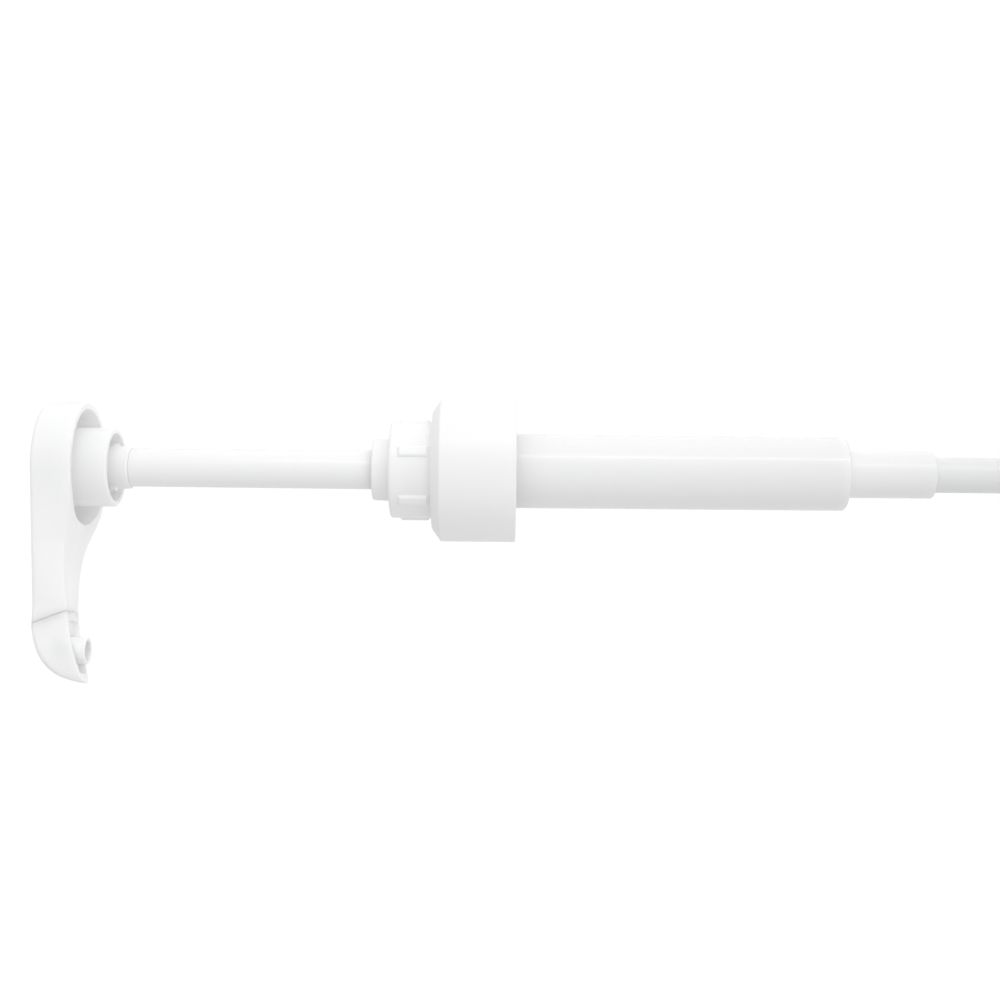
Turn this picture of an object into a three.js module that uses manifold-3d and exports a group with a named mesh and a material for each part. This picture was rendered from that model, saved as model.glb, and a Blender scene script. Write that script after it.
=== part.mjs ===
// Condiment pump dispenser for a gallon jug: a hand pump that gives one fluid ounce a stroke.
// Millimetres, +Z up along the pump's axis. The origin is the centre of the neck gasket's underside,
// where the pump rests on the rim of the jug, and the spout points towards -X. The plunger is up.

import * as THREE from "three";
import { mergeVertices } from "three/addons/utils/BufferGeometryUtils.js";
import Module from "manifold-3d";

const wasm = await Module();
wasm.setup();

// ---------------------------------------------------------------- driving dimensions

const GAP = 0.3; // clearance between pieces that touch
const STROKE = 85; // travel of the plunger

const HEAD = {
  deckTop: 124.4, // the surface the hand presses
  deckThickness: 2.2,
  deckEndX: -50, // where the deck starts to turn down into the nose
  rimBottom: 112.4, // lower edge of the round part's wall
  discRadius: 20,
  wall: 2,
  edgeRound: 1.3, // rounding round the deck
  taper: (17.9 * Math.PI) / 180, // how far each flank leans in from the disc to the nose
  flankEnd: 44, // where the straight flanks end
  spoutLength: 66.6, // from the axis to the tip of the nose
  spoutHalfWidth: 6.2,
  tipHalfWidth: 2.2,
  tipBottom: 108.5,
  pocketLength: 19, // pocket in front of the boss, as deep as the round hollow
  pocketHalfWidth: 9.4,
  ductZ: 120.4,
  ductRadius: 2.2,
  ductWall: 1.2,
};

// Control points of the head's curves. Each list ends where its curve ends.
const FLANK_TO_NOSE = [[-50, 6.1], [-53, 6.2], [-56, 6.2]]; // X and Y
const NOSE_SIDE = [[-62, 6.2], [-66.6, 5], [-66.6, 2.2]]; // X and Y
const NOSE_FRONT = [[-60, 123.2], [-65.4, 118.6], [-66.6, 110.6]]; // X and Z
const NOSE_LIP = [[-62, 109.6], [-57, 112.3], [-45.9, 113.9]]; // X and Z
const SPOUT_ARCH = [[-38, 115.1], [-31, 115.7], [-24, 114.6]]; // X and Z
const RIM_RISE = [[-17.5, 113.6], [-15, 112.4], [-9, 112.4]]; // X and Z

const NOSE = { skin: 1.6, ceiling: 113.6, frontSkin: 3.2, hoodRound: 6, hoodTip: 1.4 };

const BOSS = { radius: 12.2, boreRadius: 10.5, bottom: 103.8, floor: 110, edge: 1 };

const COLLAR = {
  radius: 6.6,
  boreRadius: 5.5,
  bottom: 98.9,
  top: 115.7,
  edge: 0.6,
  lugCount: 2,
  lugReach: 7.4,
  lugWidth: 3.2,
  lugBottom: 103,
  lugHeight: 2.2,
};

// Slanted joint between the head and its nose, from its foot up to the deck.
const SEAM = { bottomX: -45.9, bottomZ: 114.4, topX: -49.8 };

const NOZZLE = { x: -57, radius: 4.1, boreRadius: 3, bottom: 108.3, top: 116.6 };

const ROD = {
  topRadius: 5.9,
  bottomRadius: 6.1,
  boreRadius: 4.2,
  spigotRadius: 5.2,
  spigotBottom: 98.6,
  top: 116.9,
  bottom: -0.5,
};

const NUT = {
  neckTop: 24.2,
  neckTopRadius: 9.4,
  neckRadius: 9.6,
  neckRound: 1.4,
  shoulder: 18.6,
  bottom: 6,
  radius: 14.8,
  boreRadius: 7.9, // lets the stem collar and its lugs in when the head is down
  threadBore: 12.9,
  threadTop: 13.6,
  ribCount: 6,
  ribRadius: 15.6,
  ribAngle: (12.5 * Math.PI) / 180,
  ribTurn: (8 * Math.PI) / 180, // how far the ribs are turned round from midway
  ribFoot: 0.6,
  ribHeight: 9.3,
  ribRoot: 1, // how deep each rib is rooted in the wall
  edge: 0.6,
};

const CAP = {
  radius: 22,
  topRadius: 18.2,
  top: 5.7,
  chamferHeight: 2.7,
  plate: 2,
  bottom: -20,
  edge: 0.4,
  holeRadius: 12.9,
  innerRadius: 18.9,
  threadReach: 0.9, // how far the thread stands in from the wall
  threadPitch: 4.23, // six turns to the inch
  threadTurns: 1.5,
  threadStart: -15.5,
  threadRadius: 1.2,
  threadStepsPerTurn: 28,
  threadSides: 6,
};

const BARREL = {
  radius: 11.5,
  boreRadius: 10.5,
  collarRadius: 12.5,
  collarTop: 12,
  flangeRadius: 17.4,
  flangeTop: 3.4,
  flangeBottom: 1.5,
  bottom: -121.7,
  floor: -119.5,
  endRound: 0.8,
  tailRadius: 7.3,
  tailBore: 5.8,
  tailBottom: -148.8,
};

const GASKET = { radius: 17.2, holeRadius: 12, thickness: 1.2 };

const BUSH = { radius: 10.2, flangeRadius: 12.2, bottom: 6.5, top: 13.3, boreRadius: 6.4 };
const WIPER = { radius: 8.4, boreRadius: 6.4, bottom: 11.1, top: 13.1, lip: 0.5 };

const PISTON = {
  top: 6,
  bottom: -14,
  edge: 1,
  coreRadius: 8,
  flangeRadius: 9.7,
  flangeThickness: 1.6,
  midFlangeTop: -3.2,
  socketRadius: 6.4,
  chamberBottom: -11,
  seatTopRadius: 4.4,
  holeRadius: 2.4,
};

const SEAL = { radius: 10.2, boreRadius: 8.3, height: 5, lipDepth: 2, lipThickness: 0.8 };

const CAGE = { radius: 6.1, holeRadius: 2.4, top: -0.8, bottom: -2.6 };
const OUTLET_BALL = { radius: 3.5, centre: -9.9 };

const SPRING = { meanRadius: 8.9, wire: 1.3, coils: 12, stepsPerCoil: 12, wireSides: 6 };

const RETAINER = {
  radius: 10.1,
  holeRadius: 3,
  hubRadius: 7.6,
  hubTop: -115.4,
  hubDraft: 0.4,
  top: -117.4,
  bottom: -119.2,
};

const INLET_SEAT = { radius: 5.5, topRadius: 4.6, holeRadius: 2.2, bottom: -133.6, top: -129.2 };
const INLET_BALL = { radius: 3.95, centre: -127.5 };

const DIP_TUBE = { radius: 5.5, boreRadius: 4.5, top: -134.2, tip: -280, cutAngle: Math.PI / 6 };

const ROUND = 36; // sides of a large round piece
const MID_ROUND = 28; // sides of a middling one
const SMALL_ROUND = 24; // sides of a small one
const BALL_SIDES = 16;
const BALL_RINGS = 10;
const ARC_RISE = 0.3; // how far in from its ends a rounding's middle point lies, as a share of its size

const POLYPROPYLENE = { color: 0xf3f4f4, roughness: 0.38, metalness: 0 };
const POLYETHYLENE = { color: 0xe4e8e8, roughness: 0.42, metalness: 0 };
const SEAL_RUBBER = { color: 0xd9d9d4, roughness: 0.7, metalness: 0 };
const STEEL = { color: 0xb9bcc0, roughness: 0.25, metalness: 1 };

// ---------------------------------------------------------------- solids

const MERGE_DISTANCE = 1e-4;
const SPAN = 60; // reach of a cutting block past what it cuts
const CUT_BASE = 100; // a height below the head, where its blocks and cuts start
const SMALL_REACH = 1; // how far a cut or a join runs past the face it meets

// A closed geometry as a solid that can be cut and joined.
function solidOf(geometry) {
  const bare = geometry.clone();
  bare.deleteAttribute("normal");
  bare.deleteAttribute("uv");
  const merged = mergeVertices(bare, MERGE_DISTANCE);
  return new wasm.Manifold(
    new wasm.Mesh({
      numProp: 3,
      vertProperties: merged.attributes.position.array,
      triVerts: new Uint32Array(merged.index.array),
    }),
  );
}

// A solid back as a geometry.
function geometryOf(solid) {
  const mesh = solid.getMesh();
  const geometry = new THREE.BufferGeometry();
  geometry.setAttribute("position", new THREE.BufferAttribute(mesh.vertProperties, 3));
  geometry.setIndex(new THREE.BufferAttribute(mesh.triVerts, 1));
  geometry.computeVertexNormals();
  return geometry;
}

// Turns an outline of [radius, z] points round the Z axis. An outline off the axis closes on itself.
function revolve(outline, sides) {
  const points = outline.map(([radius, z]) => new THREE.Vector2(radius, z));
  if (THREE.ShapeUtils.area(points) < 0) points.reverse();
  const onAxis = points.some((point) => point.x === 0);
  if (onAxis) {
    const start = points.findIndex((point, i) => point.x === 0 && points.at(i - 1).x === 0);
    points.push(...points.splice(0, start));
  } else {
    points.push(points[0].clone());
  }
  return new THREE.LatheGeometry(points, sides).rotateX(Math.PI / 2);
}

// A plain tube or ring between two heights.
function tube(radius, boreRadius, bottom, top, sides) {
  return revolve(
    [
      [boreRadius, bottom],
      [radius, bottom],
      [radius, top],
      [boreRadius, top],
    ],
    sides,
  );
}

// A plain round plug between two heights, used to join or to bore.
function plug(radius, bottom, top, sides) {
  return revolve(
    [
      [0, bottom],
      [radius, bottom],
      [radius, top],
      [0, top],
    ],
    sides,
  );
}

// A box between two corners.
function block(low, high) {
  const size = high.map((value, i) => value - low[i]);
  const middle = high.map((value, i) => (value + low[i]) / 2);
  return new THREE.BoxGeometry(...size).translate(...middle);
}

// A round rod lying along X between two places, at height z.
function crossRod(radius, startX, endX, z, sides) {
  return plug(radius, startX, endX, sides)
    .rotateY(Math.PI / 2)
    .translate(0, 0, z);
}

// ---------------------------------------------------------------- head

const CURVE_STEPS = 7;

// Adds a curve to an outline from its control points.
function curveTo(outline, points) {
  outline.bezierCurveTo(...points.flat());
}

// The same curve run backwards to its start, with Y turned round.
function curveBack(outline, points, start) {
  const [first, second] = points;
  const mirrored = [second, first, start].map(([x, y]) => [x, -y]);
  curveTo(outline, mirrored);
}

// Plan outline of the head, drawn in X and Y: a disc round the axis with straight flanks to the nose.
function headPlan() {
  const { discRadius, taper, flankEnd, spoutLength, tipHalfWidth } = HEAD;
  const flankHalf = (discRadius - flankEnd * Math.sin(taper)) / Math.cos(taper);
  const discEnd = Math.PI / 2 + taper;
  const plan = new THREE.Shape();
  plan.absarc(0, 0, discRadius, -discEnd, discEnd, false);
  plan.lineTo(-flankEnd, flankHalf);
  curveTo(plan, FLANK_TO_NOSE);
  curveTo(plan, NOSE_SIDE);
  plan.lineTo(-spoutLength, -tipHalfWidth);
  curveBack(plan, NOSE_SIDE, FLANK_TO_NOSE.at(-1));
  curveBack(plan, FLANK_TO_NOSE, [-flankEnd, flankHalf]);
  return plan;
}

// Side outline of the head, drawn in X and Z: a flat deck, a nose that turns down, an arched lower edge.
function headSide() {
  const { deckTop, deckEndX, rimBottom, discRadius, spoutLength, tipBottom } = HEAD;
  const clearX = discRadius + SMALL_REACH;
  const clearZ = deckTop + SMALL_REACH;
  const side = new THREE.Shape();
  side.moveTo(clearX, rimBottom);
  side.lineTo(clearX, clearZ);
  side.lineTo(deckEndX, clearZ);
  side.lineTo(deckEndX, deckTop);
  curveTo(side, NOSE_FRONT);
  side.lineTo(-spoutLength - MERGE_DISTANCE, tipBottom);
  curveTo(side, NOSE_LIP);
  curveTo(side, SPOUT_ARCH);
  curveTo(side, RIM_RISE);
  return side;
}

// The whole outer body of the head, before it is parted at the seam.
function headBody() {
  const { deckTop, edgeRound } = HEAD;
  const plan = new THREE.ExtrudeGeometry(headPlan(), {
    depth: deckTop - CUT_BASE - edgeRound,
    curveSegments: CURVE_STEPS,
    bevelThickness: edgeRound,
    bevelSize: edgeRound,
    bevelOffset: -edgeRound,
    bevelSegments: 3,
  }).translate(0, 0, CUT_BASE);
  const side = new THREE.ExtrudeGeometry(headSide(), {
    depth: SPAN,
    curveSegments: CURVE_STEPS,
    bevelEnabled: false,
  })
    .rotateX(Math.PI / 2)
    .translate(0, SPAN / 2, 0);
  return solidOf(plan).intersect(solidOf(side));
}

// A block that holds everything on one side of the slanted seam, shifted by half the joint's clearance.
function seamBlock(towardsNose) {
  const slope = (SEAM.topX - SEAM.bottomX) / (HEAD.deckTop - SEAM.bottomZ);
  const shift = towardsNose ? -GAP / 2 : GAP / 2;
  const low = CUT_BASE;
  const high = HEAD.deckTop + SMALL_REACH;
  const xAt = (z) => SEAM.bottomX + slope * (z - SEAM.bottomZ) + shift;
  const farX = towardsNose ? xAt(low) - SPAN : xAt(low) + 2 * SPAN;
  const outline = new THREE.Shape([
    new THREE.Vector2(xAt(low), low),
    new THREE.Vector2(xAt(high), high),
    new THREE.Vector2(farX, high),
    new THREE.Vector2(farX, low),
  ]);
  const geometry = new THREE.ExtrudeGeometry(outline, { depth: SPAN, bevelEnabled: false });
  return solidOf(geometry.rotateX(Math.PI / 2).translate(0, SPAN / 2, 0));
}

// The bore that carries the sauce from above the rod to the nose.
function ductBore(endX) {
  return solidOf(crossRod(HEAD.ductRadius, endX, 0, HEAD.ductZ, SMALL_ROUND / 2));
}

// Head: deck, wall, boss that shuts over the lock nut's neck, and the duct towards the nose.
function headShell(body) {
  const { deckTop, deckThickness, discRadius, wall, ductZ, ductRadius } = HEAD;
  const { pocketLength, pocketHalfWidth } = HEAD;
  const hollowTop = deckTop - deckThickness;
  const hollow = solidOf(plug(discRadius - wall, BOSS.bottom, hollowTop, ROUND));
  const pocket = solidOf(
    block([-pocketLength, -pocketHalfWidth, BOSS.bottom], [0, pocketHalfWidth, hollowTop]),
  );
  const bridgeHalf = ductRadius + HEAD.ductWall;
  const bridge = solidOf(
    block(
      [-pocketLength - SMALL_REACH, -bridgeHalf, ductZ - bridgeHalf],
      [0, bridgeHalf, hollowTop + SMALL_REACH],
    ),
  );
  const boss = solidOf(
    revolve(
      [
        [0, BOSS.bottom],
        [BOSS.radius - BOSS.edge, BOSS.bottom],
        [BOSS.radius - BOSS.edge * ARC_RISE, BOSS.bottom + BOSS.edge * ARC_RISE],
        [BOSS.radius, BOSS.bottom + BOSS.edge],
        [BOSS.radius, hollowTop + SMALL_REACH],
        [0, hollowTop + SMALL_REACH],
      ],
      ROUND,
    ),
  );
  const bores = [
    plug(BOSS.boreRadius, BOSS.bottom - SMALL_REACH, BOSS.floor, ROUND),
    plug(COLLAR.radius + GAP, BOSS.floor - SMALL_REACH, COLLAR.top + GAP, SMALL_ROUND),
    plug(COLLAR.boreRadius, COLLAR.top, ROD.top + GAP, SMALL_ROUND),
    plug(ROD.boreRadius, ROD.top, ductZ + ductRadius, SMALL_ROUND),
  ];
  return bores
    .reduce(
      (shell, bore) => shell.subtract(solidOf(bore)),
      body.intersect(seamBlock(false)).subtract(hollow).subtract(pocket).add(boss).add(bridge),
    )
    .subtract(ductBore(SEAM.topX - SPAN));
}

// Plan outline of the room inside the nose's hood, drawn in X and Y.
function hoodPlan() {
  const { skin, frontSkin, hoodRound, hoodTip } = NOSE;
  const half = HEAD.spoutHalfWidth - skin;
  const startX = SEAM.bottomX - 2 * skin;
  const endX = -HEAD.spoutLength + frontSkin;
  const shoulder = [endX + hoodRound, half];
  const front = [[endX + hoodTip, half - skin / 2], [endX, half - skin], [endX, hoodTip]];
  const hood = new THREE.Shape();
  hood.moveTo(startX, -half);
  hood.lineTo(startX, half);
  hood.lineTo(...shoulder);
  curveTo(hood, front);
  hood.lineTo(endX, -hoodTip);
  curveBack(hood, front, shoulder);
  return hood;
}

// Nose: a hood that turns the duct down into the nozzle, open below round it.
function noseCap(body) {
  const hollow = new THREE.ExtrudeGeometry(hoodPlan(), {
    depth: NOSE.ceiling - CUT_BASE,
    curveSegments: CURVE_STEPS,
    bevelEnabled: false,
  }).translate(0, 0, CUT_BASE);
  const socket = plug(NOZZLE.radius + GAP, CUT_BASE, NOZZLE.top + GAP, SMALL_ROUND);
  const riser = plug(NOZZLE.boreRadius, NOZZLE.top, HEAD.ductZ, SMALL_ROUND);
  return body
    .intersect(seamBlock(true))
    .subtract(solidOf(hollow))
    .subtract(solidOf(socket.translate(NOZZLE.x, 0, 0)))
    .subtract(solidOf(riser.translate(NOZZLE.x, 0, 0)))
    .subtract(ductBore(NOZZLE.x));
}

// Nozzle: the short tube that the sauce leaves by.
function outletNozzle() {
  const { x, radius, boreRadius, bottom, top } = NOZZLE;
  return tube(radius, boreRadius, bottom, top, SMALL_ROUND).translate(x, 0, 0);
}

// Stem collar: the sleeve that fixes the rod in the head, with the lugs that lock the head down.
function stemCollar() {
  const { radius, boreRadius, bottom, top, edge, lugCount, lugReach, lugWidth } = COLLAR;
  const sleeve = solidOf(
    revolve(
      [
        [boreRadius, bottom],
        [radius - edge, bottom],
        [radius, bottom + edge],
        [radius, top],
        [boreRadius, top],
      ],
      SMALL_ROUND,
    ),
  );
  const bore = solidOf(plug(boreRadius, bottom, top, SMALL_ROUND));
  const lugTop = COLLAR.lugBottom + COLLAR.lugHeight;
  let collar = sleeve;
  for (let i = 0; i < lugCount / 2; i += 1) {
    const bar = block(
      [-lugReach, -lugWidth / 2, COLLAR.lugBottom],
      [lugReach, lugWidth / 2, lugTop],
    ).rotateZ((i * 2 * Math.PI) / lugCount);
    collar = collar.add(solidOf(bar).subtract(bore));
  }
  return collar;
}

// ---------------------------------------------------------------- plunger

// Rod: the hollow stem, a little thicker towards the piston, with a thinner spigot in the collar.
function plungerRod() {
  const { topRadius, bottomRadius, boreRadius, spigotRadius, spigotBottom, top, bottom } = ROD;
  return revolve(
    [
      [boreRadius, bottom],
      [bottomRadius, bottom],
      [topRadius, spigotBottom],
      [spigotRadius, spigotBottom],
      [spigotRadius, top],
      [boreRadius, top],
    ],
    MID_ROUND,
  );
}

// Cage: the ring at the rod's foot that stops the outlet ball's lift.
function outletBallCage() {
  return tube(CAGE.radius, CAGE.holeRadius, CAGE.bottom, CAGE.top, SMALL_ROUND);
}

// Piston: a core with two seal grooves, a socket for the rod and the outlet valve's seat.
function pistonBody() {
  const { top, bottom, edge, coreRadius, flangeRadius, flangeThickness, midFlangeTop } = PISTON;
  const midBottom = midFlangeTop - flangeThickness;
  const lowTop = bottom + flangeThickness;
  const seatFall = PISTON.seatTopRadius - PISTON.holeRadius;
  return revolve(
    [
      [PISTON.holeRadius, bottom],
      [flangeRadius, bottom],
      [flangeRadius, lowTop],
      [coreRadius, lowTop],
      [coreRadius, midBottom],
      [flangeRadius, midBottom],
      [flangeRadius, midFlangeTop],
      [coreRadius, midFlangeTop],
      [coreRadius, top - edge],
      [coreRadius - edge, top],
      [PISTON.socketRadius, top],
      [PISTON.socketRadius, PISTON.chamberBottom],
      [PISTON.seatTopRadius, PISTON.chamberBottom],
      [PISTON.holeRadius, PISTON.chamberBottom - seatFall],
    ],
    MID_ROUND,
  );
}

// Piston seal: a ring with a lip that bears on the barrel. sense is +1 for a lip up, -1 for a lip down.
function pistonSeal(middle, sense) {
  const { radius, boreRadius, height, lipDepth, lipThickness } = SEAL;
  const back = middle - (sense * height) / 2;
  const front = middle + (sense * height) / 2;
  const root = front - sense * lipDepth;
  return revolve(
    [
      [boreRadius, back],
      [radius - lipThickness / 2, back],
      [radius, front],
      [radius - lipThickness, front],
      [boreRadius + lipThickness, root],
      [boreRadius, root],
    ],
    MID_ROUND,
  );
}

// A helix round the Z axis.
class Helix extends THREE.Curve {
  constructor(radius, pitch, turns, startZ) {
    super();
    Object.assign(this, { radius, pitch, turns, startZ });
  }

  getPoint(share, target = new THREE.Vector3()) {
    const turn = share * this.turns;
    const angle = turn * 2 * Math.PI;
    return target.set(
      this.radius * Math.cos(angle),
      this.radius * Math.sin(angle),
      this.startZ + this.pitch * turn,
    );
  }
}

// A regular polygon, the section of a wire or of a thread.
function section(radius, sides) {
  const corner = (_, i) => {
    const angle = (2 * Math.PI * i) / sides;
    return new THREE.Vector2(radius * Math.cos(angle), radius * Math.sin(angle));
  };
  return new THREE.Shape(Array.from({ length: sides }, corner));
}

// Return spring: between the piston's lower flange and the ball retainer.
function returnSpring() {
  const { meanRadius, wire, coils, stepsPerCoil, wireSides } = SPRING;
  const low = RETAINER.top + GAP + wire / 2;
  const high = PISTON.bottom - GAP - wire / 2;
  const path = new Helix(meanRadius, (high - low) / coils, coils, low);
  return new THREE.ExtrudeGeometry(section(wire / 2, wireSides), {
    steps: coils * stepsPerCoil,
    extrudePath: path,
  });
}

// ---------------------------------------------------------------- barrel and neck

// Barrel: the cylinder with its neck flange, the threaded collar above it and the tail below.
function pumpBarrel() {
  const { radius, boreRadius, collarRadius, collarTop, flangeRadius, flangeTop, flangeBottom } = BARREL;
  const { bottom, floor, endRound, tailRadius, tailBore, tailBottom } = BARREL;
  return revolve(
    [
      [tailBore, tailBottom],
      [tailRadius, tailBottom],
      [tailRadius, bottom],
      [radius - endRound, bottom],
      [radius, bottom + endRound],
      [radius, flangeBottom],
      [flangeRadius, flangeBottom],
      [flangeRadius, flangeTop],
      [collarRadius, flangeTop],
      [collarRadius, collarTop],
      [boreRadius, collarTop],
      [boreRadius, floor],
      [tailBore, floor],
    ],
    ROUND,
  );
}

// Lock nut: holds the guide bush on the barrel. Its neck guides the collar when the head is locked down.
function lockNut() {
  const { neckTop, neckTopRadius, neckRadius, neckRound, shoulder, bottom, radius, edge } = NUT;
  const body = solidOf(
    revolve(
      [
        [NUT.threadBore, bottom],
        [radius, bottom],
        [radius, shoulder - edge],
        [radius - edge, shoulder],
        [neckRadius, shoulder],
        [neckTopRadius, neckTop - neckRound],
        [neckTopRadius - neckRound * ARC_RISE, neckTop - neckRound * ARC_RISE],
        [neckTopRadius - neckRound, neckTop],
        [NUT.boreRadius, neckTop],
        [NUT.boreRadius, NUT.threadTop],
        [NUT.threadBore, NUT.threadTop],
      ],
      ROUND,
    ),
  );
  const rib = new THREE.Shape();
  rib.absarc(0, 0, NUT.ribRadius, -NUT.ribAngle / 2, NUT.ribAngle / 2, false);
  rib.absarc(0, 0, radius - NUT.ribRoot, NUT.ribAngle / 2, -NUT.ribAngle / 2, true);
  const ribBottom = bottom + NUT.ribFoot;
  let nut = body;
  for (let i = 0; i < NUT.ribCount; i += 1) {
    const bar = new THREE.ExtrudeGeometry(rib, {
      depth: NUT.ribHeight,
      curveSegments: 3,
      bevelEnabled: false,
    })
      .rotateZ(((i + 0.5) * 2 * Math.PI) / NUT.ribCount + NUT.ribTurn)
      .translate(0, 0, ribBottom);
    nut = nut.add(solidOf(bar));
  }
  return nut;
}

// Guide bush: centres the rod in the barrel's mouth, with a pocket for the wiper seal.
function rodGuideBush() {
  const { radius, flangeRadius, bottom, top, boreRadius } = BUSH;
  const seat = BARREL.collarTop + GAP;
  return revolve(
    [
      [boreRadius, bottom],
      [radius, bottom],
      [radius, seat],
      [flangeRadius, seat],
      [flangeRadius, top],
      [WIPER.radius + GAP, top],
      [WIPER.radius + GAP, WIPER.bottom - GAP],
      [boreRadius, WIPER.bottom - GAP],
    ],
    MID_ROUND,
  );
}

// Wiper seal: keeps sauce on the rod from coming out past the bush.
function rodWiperSeal() {
  const { radius, boreRadius, bottom, top, lip } = WIPER;
  return revolve(
    [
      [boreRadius + lip, bottom],
      [radius, bottom],
      [radius, top],
      [boreRadius, top],
      [boreRadius, top - lip],
    ],
    SMALL_ROUND,
  );
}

// Closure cap: screws on the jug's neck and clamps the barrel's flange, with a one-start thread inside.
function closureCap() {
  const { radius, topRadius, top, chamferHeight, plate, bottom, edge, holeRadius, innerRadius } = CAP;
  const body = solidOf(
    revolve(
      [
        [innerRadius, bottom],
        [radius - edge, bottom],
        [radius, bottom + edge],
        [radius, top - chamferHeight],
        [topRadius, top],
        [holeRadius, top],
        [holeRadius, top - plate],
        [innerRadius, top - plate],
      ],
      ROUND,
    ),
  );
  const path = new Helix(
    innerRadius + CAP.threadRadius - CAP.threadReach,
    CAP.threadPitch,
    CAP.threadTurns,
    CAP.threadStart,
  );
  const thread = new THREE.ExtrudeGeometry(section(CAP.threadRadius, CAP.threadSides), {
    steps: CAP.threadTurns * CAP.threadStepsPerTurn,
    extrudePath: path,
  });
  return body.add(solidOf(thread));
}

// Inlet valve seat: the cone that the inlet ball drops on, above the dip tube.
function inletValveSeat() {
  const { radius, topRadius, holeRadius, bottom, top } = INLET_SEAT;
  return revolve(
    [
      [holeRadius, bottom],
      [radius, bottom],
      [radius, top],
      [topRadius, top],
      [holeRadius, top - (topRadius - holeRadius)],
    ],
    SMALL_ROUND,
  );
}

// Ball retainer: the disc on the barrel's floor that stops the inlet ball and centres the spring.
function ballRetainer() {
  const { radius, holeRadius, hubRadius, hubTop, top, bottom } = RETAINER;
  return revolve(
    [
      [holeRadius, bottom],
      [radius, bottom],
      [radius, top],
      [hubRadius, top],
      [hubRadius - RETAINER.hubDraft, hubTop],
      [holeRadius, hubTop],
    ],
    MID_ROUND,
  );
}

// Dip tube: reaches to the jug's floor, with its end cut at a slant so that it can't seal itself there.
function dipTube() {
  const { radius, boreRadius, top, tip, cutAngle } = DIP_TUBE;
  const cutter = block([-SPAN, -SPAN, -SPAN], [SPAN, SPAN, 0])
    .rotateY(cutAngle)
    .translate(radius, 0, tip);
  const whole = tube(radius, boreRadius, tip - SMALL_REACH, top, SMALL_ROUND);
  return solidOf(whole).subtract(solidOf(cutter));
}

// A valve ball.
function ball({ radius, centre }) {
  return new THREE.SphereGeometry(radius, BALL_SIDES, BALL_RINGS).translate(0, 0, centre);
}

// ---------------------------------------------------------------- assembly

// A named mesh from a geometry or a solid.
function piece(name, shape, finish) {
  const geometry = shape.isBufferGeometry ? shape : geometryOf(shape);
  const mesh = new THREE.Mesh(geometry, new THREE.MeshStandardMaterial(finish));
  mesh.name = name;
  return mesh;
}

const body = headBody();
const midFlangeBottom = PISTON.midFlangeTop - PISTON.flangeThickness;
const lowFlangeTop = PISTON.bottom + PISTON.flangeThickness;
const upperSealMiddle = (PISTON.midFlangeTop + PISTON.top - PISTON.edge) / 2;
const lowerSealMiddle = (lowFlangeTop + midFlangeBottom) / 2;

const head = new THREE.Group().add(
  piece("head_shell", headShell(body), POLYPROPYLENE),
  piece("nose_cap", noseCap(body), POLYPROPYLENE),
  piece("outlet_nozzle", outletNozzle(), POLYPROPYLENE),
  piece("stem_collar", stemCollar(), POLYPROPYLENE),
  piece("plunger_rod", plungerRod(), POLYPROPYLENE),
);

const plunger = new THREE.Group().add(
  piece("outlet_ball_cage", outletBallCage(), POLYPROPYLENE),
  piece("piston_body", pistonBody(), POLYPROPYLENE),
  piece("upper_piston_seal", pistonSeal(upperSealMiddle, 1), SEAL_RUBBER),
  piece("lower_piston_seal", pistonSeal(lowerSealMiddle, -1), SEAL_RUBBER),
  piece("outlet_ball", ball(OUTLET_BALL), STEEL),
  piece("return_spring", returnSpring(), STEEL),
);

const gasket = tube(GASKET.radius, GASKET.holeRadius, 0, GASKET.thickness, ROUND);

const barrel = new THREE.Group().add(
  piece("pump_barrel", pumpBarrel(), POLYPROPYLENE),
  piece("lock_nut", lockNut(), POLYPROPYLENE),
  piece("rod_guide_bush", rodGuideBush(), POLYPROPYLENE),
  piece("rod_wiper_seal", rodWiperSeal(), SEAL_RUBBER),
  piece("neck_gasket", gasket, SEAL_RUBBER),
  piece("closure_cap", closureCap(), POLYPROPYLENE),
  piece("ball_retainer", ballRetainer(), POLYPROPYLENE),
  piece("inlet_valve_seat", inletValveSeat(), POLYPROPYLENE),
  piece("inlet_ball", ball(INLET_BALL), STEEL),
  piece("dip_tube", dipTube(), POLYETHYLENE),
);

export default new THREE.Group().add(head, plunger, barrel);
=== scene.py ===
"""The looks of a condiment pump dispenser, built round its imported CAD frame. Sizes are in metres."""

import logging
import math
from collections.abc import Callable, Sequence
from dataclasses import dataclass
from enum import Enum
from itertools import product

import bmesh
import bpy
import numpy as np
from mathutils import Matrix, Vector


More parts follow.
